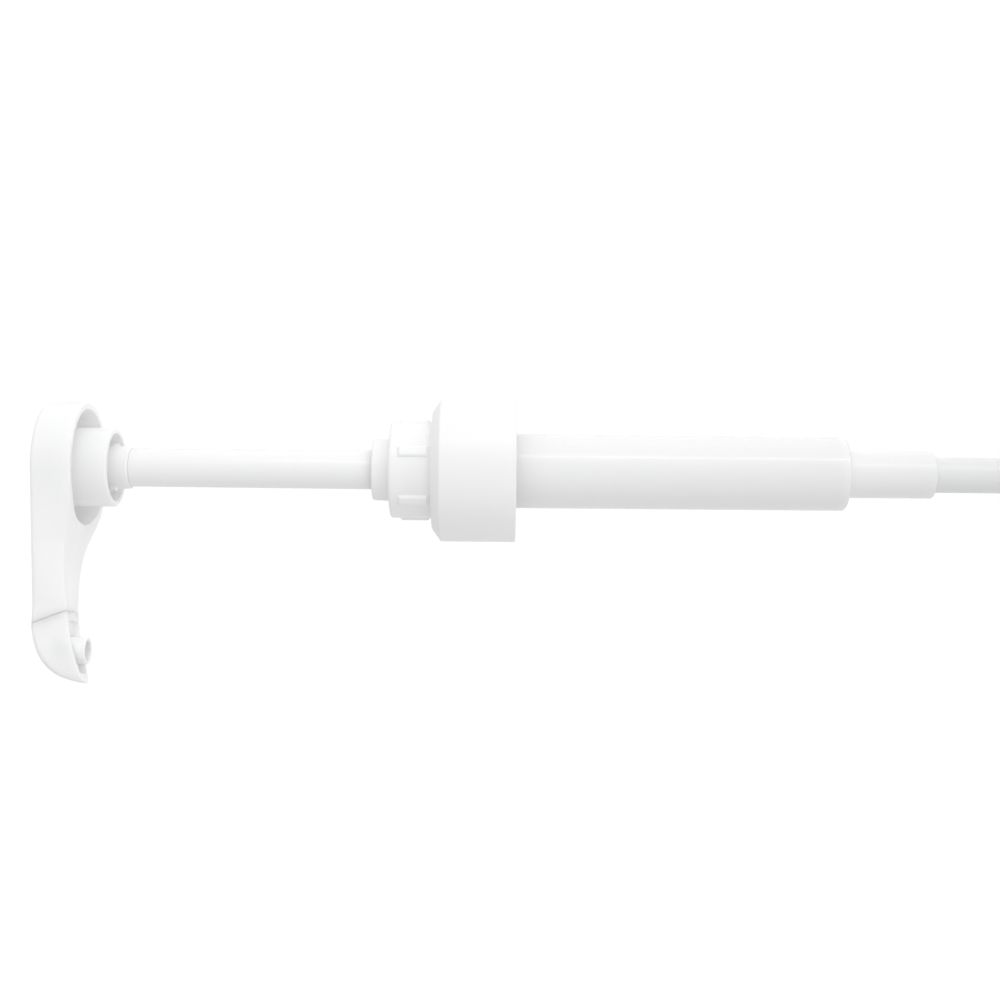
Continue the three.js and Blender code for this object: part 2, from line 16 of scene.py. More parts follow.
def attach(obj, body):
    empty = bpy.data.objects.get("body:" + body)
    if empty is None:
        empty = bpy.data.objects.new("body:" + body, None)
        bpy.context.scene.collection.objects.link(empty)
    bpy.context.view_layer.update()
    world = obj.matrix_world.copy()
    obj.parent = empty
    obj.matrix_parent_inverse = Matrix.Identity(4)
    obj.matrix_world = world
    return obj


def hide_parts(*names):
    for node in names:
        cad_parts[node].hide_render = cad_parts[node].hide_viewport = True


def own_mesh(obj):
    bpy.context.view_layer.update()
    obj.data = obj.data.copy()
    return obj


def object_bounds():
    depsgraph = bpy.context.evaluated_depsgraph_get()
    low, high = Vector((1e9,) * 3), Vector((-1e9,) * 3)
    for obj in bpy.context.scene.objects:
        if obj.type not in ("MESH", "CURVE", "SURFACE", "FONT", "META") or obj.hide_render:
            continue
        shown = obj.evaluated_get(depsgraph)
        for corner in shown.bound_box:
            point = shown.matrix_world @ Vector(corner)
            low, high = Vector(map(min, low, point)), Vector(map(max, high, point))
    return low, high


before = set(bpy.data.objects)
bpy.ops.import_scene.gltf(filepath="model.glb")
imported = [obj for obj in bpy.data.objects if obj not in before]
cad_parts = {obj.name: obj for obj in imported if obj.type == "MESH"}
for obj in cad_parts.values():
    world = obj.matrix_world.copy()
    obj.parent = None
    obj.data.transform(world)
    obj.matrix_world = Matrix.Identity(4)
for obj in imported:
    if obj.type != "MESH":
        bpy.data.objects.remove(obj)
CAD_BOX = [list(corner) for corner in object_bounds()]

MM = 0.001
FINE = 128  # sides of a turned piece
CREASE = 32.0  # degrees above which an edge stays crisp
STRAIGHT = math.radians(88)  # half angle above which a corner is left as it is
FILLET_STEP = 12  # degrees that one facet of a fillet turns
FILLET_FACETS = (3, 10)  # fewest and most facets of a fillet
FILLET_SHARE = 0.49  # most of a side that one fillet takes
COIL_STEPS = 36  # steps in one turn of a coil
WIRE_SIDES = 12
CLOSE_PITCH = 1.02  # pitch of a coil's flat end turns, in wire diameters
FLOOR_SIDES = 96
NOISE_RANGE = (0.3, 0.7)  # the middle range that a noise mostly stays in
NOISE_ROUGHNESS = 0.55

# How fine each marking of the plastic is, in cells to the metre.
FLOW, HANDLING, SCRATCHES, PEEL, SPECKS = 28, 75, 420, 1500, 2200

LOG = logging.getLogger("condiment_pump")

Node = bpy.types.Node
Piece = bpy.types.Object
Point = tuple[float, float]
Corner = tuple[float, float, float]  # radius, height and fillet, in millimetres
Curve = tuple[Point, ...]  # control points along the spout: place or height against place, in millimetres
Stops = Sequence[tuple[float, Sequence[float]]]  # places on a colour ramp, with their colours
Reshape = Callable[[float, float, float], Point]


class Body(Enum):
    """The moving bodies of the pump."""

    BARREL = "barrel"
    CAP = "cap"
    PISTON = "piston"
    HEAD = "head"
    OUTLET_BALL = "outlet_ball"
    INLET_BALL = "inlet_ball"


class Slot(Enum):
    """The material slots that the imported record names."""

    PLASTIC = "polypropylene"
    BARREL = "barrel_polypropylene"
    TUBE = "polyethylene"
    RUBBER = "seal_rubber"
    SPRING = "spring_steel"
    BALL = "valve_steel"


# ---------------------------------------------------------------- finishes


class NodeSheet:
    """A material's node tree, with short calls to add and join its nodes."""

    def __init__(self, name: str) -> None:
        """Starts an empty material of that name.

        Args:
            name: the material's name.
        """
        self.material = bpy.data.materials.new(name)
        self.material.use_nodes = True
        self.tree = self.material.node_tree
        self.tree.nodes.clear()
        self.shader = self.add("ShaderNodeBsdfPrincipled")
        output = self.add("ShaderNodeOutputMaterial")
        self.join(self.shader, "BSDF", output, "Surface")
        self.place = self.add("ShaderNodeTexCoord")

    def add(self, kind: str, **inputs: object) -> Node:
        """Adds a node and sets its sockets.

        Args:
            kind: the node's type.
            inputs: values by socket name, with _ for a space.

        Returns:
            The new node.
        """
        node = self.tree.nodes.new(kind)
        for name, value in inputs.items():
            node.inputs[name.replace("_", " ")].default_value = value
        return node

    def join(self, source: Node, out: str, target: Node, into: str | int) -> None:
        """Links a socket of one node to a socket of another.

        Args:
            source: the node that gives the value.
            out: its output's name.
            target: the node that takes it.
            into: the input's name or number.
        """
        self.tree.links.new(source.outputs[out], target.inputs[into])

    def noise(self, scale: float, detail: float, stretch: Sequence[float] = (1, 1, 1)) -> Node:
        """Noise in the piece's own coordinates.

        Args:
            scale: how fine it is, in cells to the metre.
            detail: how many finer layers it has.
            stretch: scale along each axis, to draw it out into streaks.

        Returns:
            The noise node.
        """
        mapping = self.add("ShaderNodeMapping")
        mapping.inputs["Scale"].default_value = stretch
        self.join(self.place, "Object", mapping, "Vector")
        node = self.add("ShaderNodeTexNoise", Scale=scale, Detail=detail, Roughness=NOISE_ROUGHNESS)
        self.join(mapping, "Vector", node, "Vector")
        return node

    def spread(self, source: Node, low: float, high: float) -> Node:
        """Maps a noise's middle range to a range of values.

        Args:
            source: the noise node.
            low: the value at the noise's dark end.
            high: the value at its light end.

        Returns:
            The map node, whose output is Result.
        """
        node = self.add("ShaderNodeMapRange")
        for name, value in zip(("From Min", "From Max", "To Min", "To Max"), (*NOISE_RANGE, low, high)):
            node.inputs[name].default_value = value
        self.join(source, "Fac", node, "Value")
        return node

    def tones(self, source: Node, out: str, stops: Stops) -> Node:
        """A colour ramp driven by another node.

        Args:
            source: the node that drives it.
            out: that node's output.
            stops: places from 0 to 1 with their linear colours.

        Returns:
            The ramp node, whose output is Color.
        """
        ramp = self.add("ShaderNodeValToRGB")
        elements = ramp.color_ramp.elements
        while len(elements) < len(stops):
            elements.new(0.5)
        for element, (place, colour) in zip(elements, stops):
            element.position = place
            element.color = (*colour, 1)
        self.join(source, out, ramp, "Fac")
        return ramp

    def bump(self, layers: Sequence[tuple[Node, float]]) -> None:
        """Raises the surface by one or more noises, each with its height in metres.

        Args:
            layers: noise nodes with their heights.
        """
        last = None
        for source, height in layers:
            node = self.add("ShaderNodeBump", Strength=1.0, Distance=height)
            self.join(source, "Fac", node, "Height")
            if last is not None:
                self.join(last, "Normal", node, "Normal")
            last = node
        self.join(last, "Normal", self.shader, "Normal")


def shade(colour: Sequence[float], factor: float) -> tuple[float, ...]:
    """A colour made lighter or darker, and never above white."""
    return tuple(min(1.0, channel * factor) for channel in colour)


@dataclass(frozen=True)
class MouldedPlastic:
    """Injection-moulded plastic: a satin skin with flow tone, a fine orange peel, scuffs and dust."""

    name: str
    colour: tuple[float, float, float]
    roughness: float = 0.36
    ior: float = 1.49
    subsurface: float = 0.15
    transmission: float = 0.0
    peel: float = 0.000012
    scuffs: float = 0.000006
    streaks: tuple[float, float, float] = (1, 1, 0.08)
    dust: float = 0.5
    gloss: float = 0.0
    gloss_roughness: float = 0.1
    scatter: tuple[float, float, float] = (1.0, 0.97, 0.94)
    depth: float = 0.005

    def material(self) -> bpy.types.Material:
        """Builds the node material.

        Returns:
            The material.
        """
        sheet = NodeSheet(self.name)
        shader = sheet.shader
        shader.inputs["IOR"].default_value = self.ior
        shader.inputs["Subsurface Weight"].default_value = self.subsurface
        shader.inputs["Subsurface Radius"].default_value = self.scatter
        shader.inputs["Subsurface Scale"].default_value = self.depth
        shader.inputs["Transmission Weight"].default_value = self.transmission
        shader.inputs["Coat Weight"].default_value = self.gloss
        shader.inputs["Coat Roughness"].default_value = self.gloss_roughness
        flow = sheet.noise(FLOW, 3, self.streaks)
        darker, lighter = shade(self.colour, 0.985), shade(self.colour, 1.012)
        tone = sheet.tones(flow, "Fac", [(0.32, darker), (0.68, lighter)])
        speck = (1 - 0.2 * self.dust,) * 3
        dust = sheet.tones(sheet.noise(SPECKS, 1), "Fac", [(0.2, speck), (0.235, (1, 1, 1))])
        mix = sheet.add("ShaderNodeMix")
        mix.data_type = "RGBA"
        mix.blend_type = "MULTIPLY"
        mix.inputs["Factor"].default_value = 1.0
        sheet.join(tone, "Color", mix, 6)
        sheet.join(dust, "Color", mix, 7)
        sheet.tree.links.new(mix.outputs[2], shader.inputs["Base Color"])
        gloss = sheet.spread(sheet.noise(HANDLING, 5), self.roughness - 0.05, self.roughness + 0.08)
        sheet.join(gloss, "Result", shader, "Roughness")
        scratches = sheet.noise(SCRATCHES, 4, self.streaks)
        sheet.bump([(sheet.noise(PEEL, 2), self.peel), (scratches, self.scuffs)])
        return sheet.material


@dataclass(frozen=True)
class SoftRubber:
    """Matt seal rubber with a fine grain and a slightly shiny, worn lip."""

    name: str
    colour: tuple[float, float, float]
    grain: float = 1100
    grain_height: float = 0.00002
    wear: float = 160
    roughness: tuple[float, float] = (0.52, 0.78)

    def material(self) -> bpy.types.Material:
        """Builds the node material.

        Returns:
            The material.
        """
        sheet = NodeSheet(self.name)
        grain = sheet.noise(self.grain, 4)
        darker, lighter = shade(self.colour, 0.93), shade(self.colour, 1.04)
        tone = sheet.tones(grain, "Fac", [(0.3, darker), (0.7, lighter)])
        sheet.join(tone, "Color", sheet.shader, "Base Color")
        gloss = sheet.spread(sheet.noise(self.wear, 3), *self.roughness)
        sheet.join(gloss, "Result", sheet.shader, "Roughness")
        sheet.bump([(grain, self.grain_height)])
        return sheet.material


@dataclass(frozen=True)
class BrightSteel:
    """Stainless steel wire or ball, with drawing marks and a change of gloss."""

    name: str
    colour: tuple[float, float, float]
    roughness: float
    streaks: tuple[float, float, float]
    marks: float = 700
    mark_height: float = 0.000008

    def material(self) -> bpy.types.Material:
        """Builds the node material.

        Returns:
            The material.
        """
        sheet = NodeSheet(self.name)
        sheet.shader.inputs["Metallic"].default_value = 1.0
        marks = sheet.noise(self.marks, 5, self.streaks)
        darker, lighter = shade(self.colour, 0.88), shade(self.colour, 1.06)
        tone = sheet.tones(marks, "Fac", [(0.3, darker), (0.7, lighter)])
        sheet.join(tone, "Color", sheet.shader, "Base Color")
        gloss = sheet.spread(marks, self.roughness * 0.7, self.roughness * 1.4)
        sheet.join(gloss, "Result", sheet.shader, "Roughness")
        sheet.bump([(marks, self.mark_height)])
        return sheet.material


class Finishes:
    """Every finish of the pump, each made once."""

    def __init__(self) -> None:
        """Makes the materials."""
        white = (0.95, 0.952, 0.951)
        barrel_white = (0.95, 0.952, 0.95)
        clearer = (0.98, 0.985, 0.985)
        along_spout, along_tube = (0.3, 1, 1), (1, 1, 0.02)
        self.plastic = MouldedPlastic("satin_white_plastic", white).material()
        self.head = MouldedPlastic(
            "pressing_head_plastic", white, roughness=0.38, subsurface=0.6, streaks=along_spout
        ).material()
        self.rod = MouldedPlastic(
            "sliding_rod_plastic", white, roughness=0.34, dust=0.3, gloss=0.45
        ).material()
        self.barrel = MouldedPlastic(
            "barrel_plastic", barrel_white, roughness=0.34, gloss=0.45
        ).material()
        self.tube = MouldedPlastic(
            "translucent_tube_plastic",
            clearer,
            roughness=0.34,
            subsurface=0.1,
            transmission=0.1,
            streaks=along_tube,
            gloss=0.3,
        ).material()
        self.rubber = SoftRubber("seal_rubber", (0.62, 0.62, 0.6)).material()
        self.spring = BrightSteel("spring_wire", (0.56, 0.57, 0.59), 0.28, (0.2, 0.2, 1)).material()
        self.ball = BrightSteel("valve_ball", (0.66, 0.67, 0.69), 0.12, (1, 1, 1)).material()


# ---------------------------------------------------------------- shapes


def rounded(corners: Sequence[Corner], closed: bool = True) -> list[Point]:
    """Draws an outline with each corner rounded by its own fillet.

    Args:
        corners: radius, height and fillet of each corner, in millimetres.
        closed: whether the last corner joins the first.

    Returns:
        The outline's points, in metres.
    """
    points: list[Point] = []
    count = len(corners)
    for i, (radius, height, fillet) in enumerate(corners):
        here = Vector((radius, height))
        if fillet <= 0 or (not closed and i in (0, count - 1)):
            points.append((radius * MM, height * MM))
            continue
        before = Vector(corners[i - 1][:2]) - here
        after = Vector(corners[(i + 1) % count][:2]) - here
        half = before.angle(after) / 2
        if half > STRAIGHT:
            points.append((radius * MM, height * MM))
            continue
        reach = min(fillet / math.tan(half), before.length * FILLET_SHARE, after.length * FILLET_SHARE)
        size = reach * math.tan(half)
        inward = (before.normalized() + after.normalized()).normalized()
        middle = here + inward * (size / math.sin(half))
        start = here + before.normalized() * reach - middle
        end = here + after.normalized() * reach - middle
        fewest, most = FILLET_FACETS
        steps = max(fewest, min(most, math.ceil(math.degrees(math.pi - 2 * half) / FILLET_STEP)))
        turn = start.angle_signed(end)
        for k in range(steps + 1):
            spoke = start.copy()
            spoke.rotate(Matrix.Rotation(-turn * k / steps, 2))
            points.append(((middle.x + spoke.x) * MM, (middle.y + spoke.y) * MM))
    return points


def new_mesh(name: str, vertices: Sequence[Sequence[float]], faces: Sequence[Sequence[int]]) -> Piece:
    """Makes a clean mesh object whose faces point out.

    Args:
        name: the piece's name.
        vertices: points in metres.
        faces: corner numbers of each face.

    Returns:
        The object, linked to the scene.
    """
    mesh = bpy.data.meshes.new(name)
    mesh.from_pydata([tuple(map(float, v)) for v in vertices], [], [tuple(f) for f in faces])
    work = bmesh.new()
    work.from_mesh(mesh)
    bmesh.ops.remove_doubles(work, verts=work.verts, dist=1e-7)
    bmesh.ops.dissolve_degenerate(work, edges=work.edges, dist=1e-8)
    bmesh.ops.recalc_face_normals(work, faces=work.faces)
    work.to_mesh(mesh)
    work.free()
    piece = bpy.data.objects.new(name, mesh)
    bpy.context.scene.collection.objects.link(piece)
    return piece


def smooth(piece: Piece, degrees: float = CREASE) -> Piece:
    """Shades a piece smooth, with its sharp edges kept crisp.

    Args:
        piece: the piece.
        degrees: edges sharper than this stay crisp.

    Returns:
        The piece.
    """
    mesh = piece.data
    mesh.polygons.foreach_set("use_smooth", [True] * len(mesh.polygons))
    mesh.set_sharp_from_angle(angle=math.radians(degrees))
    return piece


def turned(
    name: str,
    corners: Sequence[Corner],
    sides: int = FINE,
    closed: bool = True,
    reshape: Reshape | None = None,
) -> Piece:
    """Turns a rounded outline round the pump's axis.

    Args:
        name: the piece's name.
        corners: the outline, in millimetres.
        sides: how many steps go round.
        closed: whether the outline is a ring's; otherwise it starts and ends on the axis.
        reshape: gives each point's radius and height from its angle, radius and height, in metres.

    Returns:
        The piece.
    """
    outline = rounded(corners, closed)
    vertices = []
    for side in range(sides):
        angle = 2 * math.pi * side / sides
        for radius, height in outline:
            r, z = reshape(angle, radius, height) if reshape else (radius, height)
            vertices.append((r * math.cos(angle), r * math.sin(angle), z))
    rows = len(outline)
    spans = rows if closed else rows - 1
    faces = []
    for side in range(sides):
        ahead = (side + 1) % sides
        for k in range(spans):
            up = (k + 1) % rows
            faces.append((side * rows + k, ahead * rows + k, ahead * rows + up, side * rows + up))
    return smooth(new_mesh(name, vertices, faces))


def coil(
    name: str, radius: float, wire: float, low: float, high: float, turns: float, flat_ends: float = 0.0
) -> Piece:
    """Sweeps a round wire along a helix, with closed ends.

    Args:
        name: the piece's name.
        radius: the helix's mean radius, in millimetres.
        wire: the wire's diameter.
        low: height of the first turn's middle.
        high: height of the last turn's middle.
        turns: how many turns it makes.
        flat_ends: turns at each end that are wound almost flat.

    Returns:
        The piece.
    """
    steps, sides = int(turns * COIL_STEPS), WIRE_SIDES
    vertices: list[Vector] = []
    for i in range(steps + 1):
        turn = turns * i / steps
        angle = 2 * math.pi * turn
        share = turn / turns
        if flat_ends:
            share = min(1.0, max(0.0, (turn - flat_ends) / (turns - 2 * flat_ends)))
        creep = wire * CLOSE_PITCH * (min(turn, flat_ends) + max(0.0, turn - (turns - flat_ends)))
        span = high - low - 2 * wire * CLOSE_PITCH * flat_ends
        height = low + creep + span * share
        out = Vector((math.cos(angle), math.sin(angle), 0))
        centre = out * radius + Vector((0, 0, height))
        for k in range(sides):
            around = 2 * math.pi * k / sides
            offset = out * math.cos(around) + Vector((0, 0, math.sin(around)))
            vertices.append((centre + offset * wire / 2) * MM)
    faces: list[list[int]] = []
    for i in range(steps):
        for k in range(sides):
            ahead = (k + 1) % sides
            near, far = i * sides, (i + 1) * sides
            faces.append([near + k, near + ahead, far + ahead, far + k])
    faces.append(list(range(sides)))
    faces.append([steps * sides + k for k in range(sides)])
    return smooth(new_mesh(name, vertices, faces), 50)


def box(low: Sequence[float], high: Sequence[float]) -> Piece:
    """A block used as a cutting or joining tool.

    Args:
        low: its lowest corner, in millimetres.
        high: its highest corner.

    Returns:
        The block.
    """
    sides = [(a * MM, b * MM) for a, b in zip(low, high)]
    corners = list(product(*sides))
    faces = [(0, 1, 3, 2), (4, 6, 7, 5), (0, 4, 5, 1), (2, 3, 7, 6), (0, 2, 6, 4), (1, 5, 7, 3)]
    return new_mesh("tool", corners, faces)


def combine(piece: Piece, tool: Piece, how: str) -> Piece:
    """Cuts a tool out of a piece, joins it on or keeps what they share, and removes the tool.

    Args:
        piece: the piece that changes.
        tool: the closed mesh that is used up.
        how: DIFFERENCE, UNION or INTERSECT.

    Returns:
        The piece.
    """
    modifier = piece.modifiers.new("combine", "BOOLEAN")
    modifier.operation = how
    modifier.solver = "EXACT"
    modifier.object = tool
    graph = bpy.context.evaluated_depsgraph_get()
    made = bpy.data.meshes.new_from_object(piece.evaluated_get(graph))
    piece.modifiers.clear()
    piece.data = made
    bpy.data.objects.remove(tool)
    return piece


def ease_edges(piece: Piece, width: float, degrees: float = 38.0) -> Piece:
    """Rounds a piece's sharp edges a little, as a mould leaves them.

    Args:
        piece: the piece.
        width: the rounding's width in millimetres.
        degrees: only edges sharper than this are rounded.

    Returns:
        The piece.
    """
    bevel = piece.modifiers.new("eased", "BEVEL")
    bevel.width = width * MM
    bevel.segments = 3
    bevel.limit_method = "ANGLE"
    bevel.angle_limit = math.radians(degrees)
    bevel.miter_outer = "MITER_ARC"
    bevel.use_clamp_overlap = True
    graph = bpy.context.evaluated_depsgraph_get()
    piece.data = bpy.data.meshes.new_from_object(piece.evaluated_get(graph))
    piece.modifiers.clear()
    return smooth(piece)


def bezier(points: Sequence[Point], steps: int) -> list[Point]:
    """Samples a cubic curve, without its last point.

    Args:
        points: its four control points.
        steps: how many points to give.

    Returns:
        The points, in the control points' unit.
    """
    a, b, c, d = (np.array(p, float) for p in points)
    made = []
    for i in range(steps):
        t = i / steps
        s = 1 - t
        made.append(tuple(a * s**3 + 3 * b * s * s * t + 3 * c * s * t * t + d * t**3))
    return made


def install(piece: Piece, finish: bpy.types.Material, body: Body) -> Piece:
    """Dresses a piece, puts it on its body and lets it stand for the CAD node of its name.

    Args:
        piece: the piece, whose name is a CAD node's name and _skin.
        finish: its material.
        body: the body that it rides on.

    Returns:
        The piece.
    """
    node = piece.name.removesuffix("_skin")
    piece.data.materials.clear()
    piece.data.materials.append(finish)
    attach(piece, body.value)
    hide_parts(node)
    LOG.info("%s: %d faces on %s", piece.name, len(piece.data.polygons), body.value)
    return piece


# ---------------------------------------------------------------- head


@dataclass
class PressingHead:
    """The head that the hand presses: deck, wall, boss, spout, nose, nozzle and collar. Millimetres."""

    deck_top: float = 124.4
    deck_thickness: float = 2.2
    rim_bottom: float = 112.4
    spout_bottom: float = 114.4
    cut_base: float = 100.0
    disc_radius: float = 20.0
    wall: float = 2.0
    edge_round: float = 1.3
    lip_round: float = 0.3
    taper: float = math.radians(17.9)
    flank_end: float = 44.0
    spout_length: float = 66.6
    spine_end: float = 62.5
    tip_half: float = 2.2
    disc_steps: int = 44
    flank_steps: int = 40
    flank_to_nose: Curve = ((-50.0, 6.1), (-53.0, 6.2), (-56.0, 6.2))
    nose_side: Curve = ((-62.0, 6.2), (-66.6, 5.0), (-66.6, 2.2))
    nose_front: Curve = ((-50.0, 124.4), (-60.0, 123.2), (-65.4, 118.6), (-66.6, 110.6))
    rim_rise: Curve = ((-9.0, 112.4), (-15.0, 112.4), (-17.5, 113.6), (-24.0, 114.6))
    spout_arch: Curve = ((-24.0, 114.6), (-31.0, 115.7), (-38.0, 115.1), (-45.9, 113.9))
    nose_lip: Curve = ((-45.9, 113.9), (-57.0, 112.3), (-62.0, 109.6), (-66.7, 108.5))
    pocket_length: float = 19.0
    pocket_half: float = 9.4
    pocket_lean: float = 7.0
    keel_half: float = 3.8
    keel_depth: float = 0.9
    keel_end: float = 52.6
    boss_radius: float = 12.2
    boss_bore: float = 10.5
    boss_bottom: float = 103.8
    boss_floor: float = 110.0
    joint_depth: float = 0.5
    socket_radius: float = 6.9
    socket_top: float = 116.0
    seam_low: float = 45.9
    seam_high: float = 49.8
    seam_gap: float = 0.16
    hood_skin: float = 1.4
    hood_front: float = 2.6
    hood_ceiling: float = 113.6
    nozzle_place: float = 57.0
    nozzle_socket: float = 4.25
    nozzle_ceiling: float = 116.9
    nozzle_bore: float = 3.0
    nozzle_radius: float = 4.1
    nozzle_mouth: float = 108.3
    nozzle_top: float = 116.6
    duct_height: float = 120.4
    duct_half: float = 3.4
    duct_bore: float = 4.2
    duct_top: float = 121.4
    nose_round: float = 1.1
    nose_run: float = 12.0
    draft_places: tuple[float, ...] = (12.0, 20.0, 26.0, 34.0, 42.0, 47.0)
    draft_depths: tuple[float, ...] = (0.0, 1.1, 1.9, 1.3, 0.4, 0.0)
    collar_bore: float = 5.5
    collar_radius: float = 6.6
    collar_foot: float = 98.9
    collar_top: float = 115.7
    lug_low: float = 103.0
    lug_high: float = 105.3
    lug_half: float = 1.75
    lug_reach: float = 0.8

    def half_plan(self) -> list[Point]:
        """One half of the head's plan outline, from the back round to the middle of the nose's tip.

        Returns:
            Points in millimetres, with Y positive.
        """
        radius = self.disc_radius
        arc_end = math.pi / 2 + self.taper
        flank_half = (radius - self.flank_end * math.sin(self.taper)) / math.cos(self.taper)
        flank = np.array((-self.flank_end, flank_half))
        tangent = np.array((radius * math.cos(arc_end), radius * math.sin(arc_end)))
        turn = np.linspace(0, arc_end, self.disc_steps, endpoint=False)
        points = [(radius * math.cos(angle), radius * math.sin(angle)) for angle in turn]
        run = np.linspace(0, 1, self.flank_steps, endpoint=False)
        points += [tuple(tangent + (flank - tangent) * share) for share in run]
        points += bezier([flank, *self.flank_to_nose], 20)
        points += bezier([self.flank_to_nose[-1], *self.nose_side], 22)
        points += [(-self.spout_length, self.tip_half * k / 4) for k in (4, 3, 2, 1)]
        return points

    def plan(self) -> np.ndarray:
        """The whole plan outline, going once round.

        Returns:
            An array of points in millimetres.
        """
        half = self.half_plan()
        other = [(x, -y) for x, y in reversed(half[1:])]
        return np.array([*half, (-self.spout_length, 0.0), *other])

    def top_at(self, x: np.ndarray) -> np.ndarray:
        """Height of the deck and of the nose's front at places along the spout.

        Args:
            x: the places, in millimetres.

        Returns:
            The heights.
        """
        curve = np.array([*bezier(self.nose_front, 240), self.nose_front[-1]])[::-1]
        return np.interp(x, curve[:, 0], curve[:, 1])

    def low_at(self, x: np.ndarray) -> np.ndarray:
        """Height of the wall's lower edge at places along the spout.

        Args:
            x: the places, in millimetres.

        Returns:
            The heights.
        """
        curve = bezier(self.rim_rise, 30) + bezier(self.spout_arch, 30) + bezier(self.nose_lip, 60)
        points = np.array([*curve, self.nose_lip[-1]])[::-1]
        return np.interp(x, points[:, 0], points[:, 1])

    def draw_in(self, places: np.ndarray, normal: np.ndarray, level: np.ndarray) -> np.ndarray:
        """Draws the flanks in towards their lower edge, most at the middle of the spout.

        Args:
            places: the outline's points.
            normal: the outline's outward directions.
            level: 0 at the lower edge to 1 at the deck, for each point.

        Returns:
            The moved points.
        """
        along = -places[:, 0]
        share = np.interp(along, self.draft_places, self.draft_depths)
        return places - normal * (share * (1 - level))[:, None]

    def keel_at(self, x: np.ndarray, y: np.ndarray) -> np.ndarray:
        """How far the duct's round underside hangs below the spout.

        Args:
            x: places along the spout, in millimetres.
            y: places across it.

        Returns:
            The depths.
        """
        across = np.clip(1 - (y / self.keel_half) ** 2, 0, 1) ** 0.5
        start = np.clip((-x - self.pocket_length + 1) / 0.8, 0, 1)
        end = np.clip((self.keel_end + x) / 0.6, 0, 1)
        return self.keel_depth * across * start * end

    def solid(self) -> Piece:
        """The whole outer body as one closed mesh of rings, before it is cut.

        Returns:
            The body.
        """
        plan = self.plan()
        tangent = np.roll(plan, -1, axis=0) - np.roll(plan, 1, axis=0)
        normal = np.stack([tangent[:, 1], -tangent[:, 0]], axis=1)
        normal /= np.linalg.norm(normal, axis=1)[:, None]
        spine = np.stack([np.clip(plan[:, 0], -self.spine_end, 0), np.zeros(len(plan))], axis=1)
        rings: list[np.ndarray] = []

        def ring(places: np.ndarray, heights: np.ndarray) -> None:
            """Adds one ring of points."""
            rings.append(np.column_stack([places, heights]))

        ease = self.lip_round
        lower = self.draw_in(plan, normal, np.zeros(len(plan)))
        for share in np.linspace(0, 1, 25)[:-1]:
            places = spine + (lower - normal * ease - spine) * share
            ring(places, self.low_at(places[:, 0]) - self.keel_at(places[:, 0], places[:, 1]))
        for angle in np.linspace(0, math.pi / 2, 5):
            places = lower - normal * ease * (1 - math.sin(angle))
            ring(places, self.low_at(plan[:, 0]) + ease * (1 - math.cos(angle)))
        onto_nose = np.clip((-plan[:, 0] - self.seam_high) / self.nose_run, 0, 1)
        edge = self.edge_round + self.nose_round * onto_nose**1.5
        foot = self.low_at(plan[:, 0]) + ease
        crown = np.maximum(self.top_at(plan[:, 0]) - edge, foot + 0.1)
        for share in np.linspace(0, 1, 7)[1:]:
            level = np.full(len(plan), share)
            ring(self.draw_in(plan, normal, level), foot + (crown - foot) * share)
        for angle in np.linspace(0, math.pi / 2, 11)[1:]:
            places = plan - normal * (edge * (1 - math.cos(angle)))[:, None]
            ring(places, np.maximum(self.top_at(places[:, 0]) - edge * (1 - math.sin(angle)), crown))
        rim = plan - normal * edge[:, None]
        for share in np.linspace(1, 0, 17)[1:]:
            places = spine + (rim - spine) * share
            ring(places, self.top_at(places[:, 0]))
        count = len(plan)
        faces = []
        for k, i in product(range(len(rings) - 1), range(count)):
            near, ahead = k * count, (i + 1) % count
            faces.append((near + i, near + ahead, near + count + ahead, near + count + i))
        return new_mesh("head_body", np.concatenate(rings) * MM, faces)

    def seam_tool(self, nose_side: bool) -> Piece:
        """A block on one side of the slanted seam, used to keep that side's half of the body.

        Args:
            nose_side: whether it holds the nose; otherwise it holds the head.

        Returns:
            The block.
        """
        lean = (self.seam_high - self.seam_low) / (self.deck_top - self.spout_bottom)
        shift = self.seam_gap / 2 * (-1 if nose_side else 1)
        low, high = self.rim_bottom - 15, self.deck_top + 5
        far = (-1.5 if nose_side else 1.0) * self.spout_length
        edge = [-(self.seam_low + lean * (z - self.spout_bottom)) + shift for z in (low, high)]
        corners = [(edge[0], low), (edge[1], high), (far, high), (far, low)]
        aside = 1.5 * self.disc_radius
        points = [(x * MM, y * MM, z * MM) for y in (-aside, aside) for x, z in corners]
        faces = [(0, 1, 2, 3), (7, 6, 5, 4), (0, 4, 5, 1), (1, 5, 6, 2), (2, 6, 7, 3), (3, 7, 4, 0)]
        return new_mesh("tool", points, faces)

